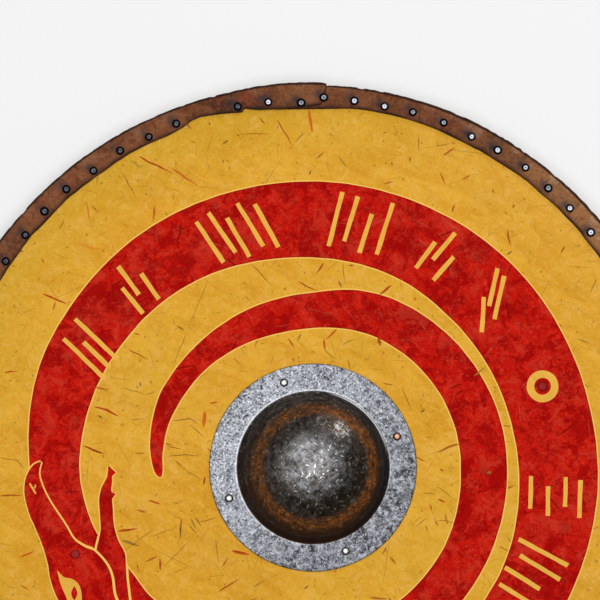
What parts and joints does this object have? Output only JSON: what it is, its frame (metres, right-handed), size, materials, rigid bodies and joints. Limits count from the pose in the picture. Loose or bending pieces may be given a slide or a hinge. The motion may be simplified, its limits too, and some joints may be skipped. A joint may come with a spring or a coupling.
{
  "type": "wooden round shield",
  "caption": "Round wooden shield with an iron boss over a hand hole, a folded leather rim and a wooden bar grip across the back.",
  "frame": {"origin": "on the surface that the shield lies on, under the middle of the board", "axes": "+Z out of the painted face, +Y to the top of the painted figure, +X to its right"},
  "size_m": [0.7497, 0.7524, 0.0856],
  "materials": {
    "painted_board": "ochre yellow paint with a red painted figure, scratched and nicked",
    "rim_leather": "worn brown leather with dark iron stains at the nails",
    "boss_iron": "grey scaly flange, burnished dome with brown rust",
    "rivet_iron": "hammered bright heads",
    "grip_wood": "plain handled wood",
    "painted_nail": "iron head painted over in red"
  },
  "bodies": {
    "root": {"shield_board": "painted_board", "leather_rim": "rim_leather", "iron_boss": "boss_iron", "wooden_grip": "grip_wood", "boss_rivet_1": "rivet_iron", "boss_rivet_2": "rivet_iron", "boss_rivet_3": "rivet_iron", "boss_rivet_4": "rivet_iron", "grip_nail_1": "painted_nail", "grip_nail_2": "painted_nail"}
  },
  "joints": []
}
